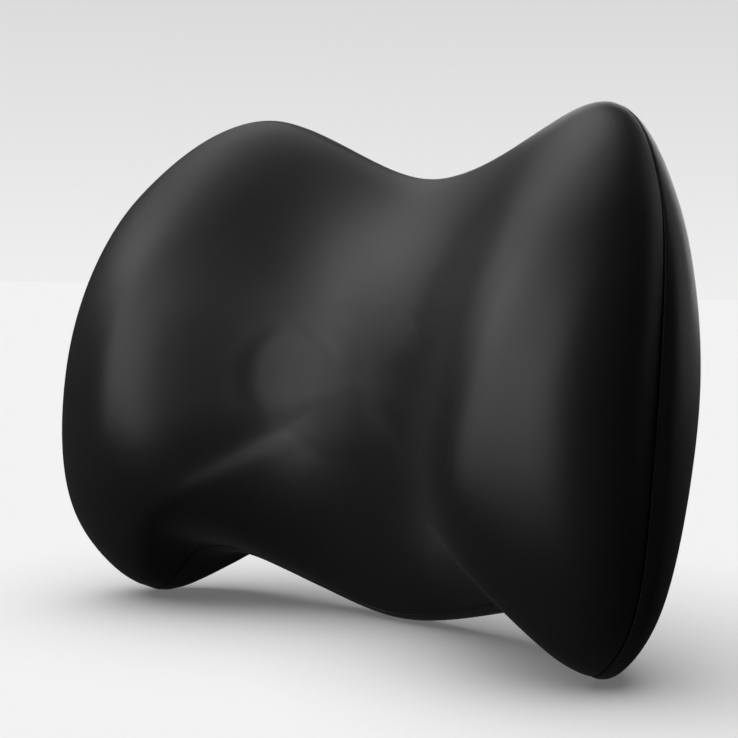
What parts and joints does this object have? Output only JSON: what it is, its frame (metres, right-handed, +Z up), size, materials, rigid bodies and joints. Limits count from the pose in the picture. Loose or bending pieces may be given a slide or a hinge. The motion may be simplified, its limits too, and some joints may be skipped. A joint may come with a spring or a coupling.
{
  "type": "chair headrest attachment",
  "caption": "Winged foam head and neck rest with a zipped knit cover and a buckled elastic strap that fastens it to a chair back.",
  "frame": {"origin": "centre of the bounding box's bottom face, on the surface the part stands on", "axes": "+X across the width, -Y the side with the hollow for the neck, +Y the strap side, +Z up; the pillow leans 11 degrees back as it stands"},
  "size_m": [0.3088, 0.1422, 0.2292],
  "materials": {
    "cover": "fine satin knit, matt black",
    "back_cover": "fine knit, matt black",
    "liner": "thin off-white stockinette",
    "foam": "open-cell moulded foam, cream",
    "thread": "black polyester thread",
    "grip": "matt black coated fabric with small grip dots",
    "webbing": "woven black elastic webbing",
    "plastic": "fine moulded texture, black acetal",
    "metal": "black lacquered zinc"
  },
  "bodies": {
    "pillow": {"foam_core": "foam", "liner_front": "liner", "liner_back": "liner", "cover_front": "cover", "cover_back": "back_cover", "edge_seam": "thread", "grip_strip_lower": "grip", "grip_strip_upper": "grip", "strap_end_left": "webbing", "anchor_patch_left": "back_cover", "strap_end_right": "webbing", "anchor_patch_right": "back_cover", "zip_tape_upper": "webbing", "zip_tape_lower": "webbing", "zip_teeth_upper": "plastic", "zip_teeth_lower": "plastic", "zip_stop_closed": "metal", "zip_stop_open": "metal"},
    "strap_half_left": {"strap_left": "webbing", "buckle_socket": "plastic"},
    "strap_half_right": {"strap_right": "webbing", "buckle_plug": "plastic"},
    "adjuster": {"strap_adjuster": "plastic"},
    "slider": {"zip_slider": "metal"},
    "pull": {"zip_pull": "metal"}
  },
  "joints": [
    {"name": "left_strap_swing", "type": "hinge", "parent": "pillow", "child": "strap_half_left", "pos_m": [-0.088, 0.06248, 0.10237], "axis": [0, 0.1908, 0.9816], "range_deg": [0, 120], "stiffness_Nm_per_rad": 0.012},
    {"name": "right_strap_swing", "type": "hinge", "parent": "pillow", "child": "strap_half_right", "pos_m": [0.088, 0.06248, 0.10237], "axis": [0, -0.1908, -0.9816], "range_deg": [0, 120], "stiffness_Nm_per_rad": 0.012},
    {"name": "adjuster_slide", "type": "slide", "parent": "strap_half_right", "child": "adjuster", "axis": [1, 0, 0], "range_m": [-0.009, 0.01]},
    {"name": "zip_travel", "type": "slide", "parent": "pillow", "child": "slider", "axis": [-1, 0, 0], "range_m": [0, 0.1]},
    {"name": "pull_swing", "type": "hinge", "parent": "slider", "child": "pull", "pos_m": [0.05, 0.05277, 0.04924], "axis": [0, 0.1908, 0.9816], "range_deg": [0, 160]}
  ]
}
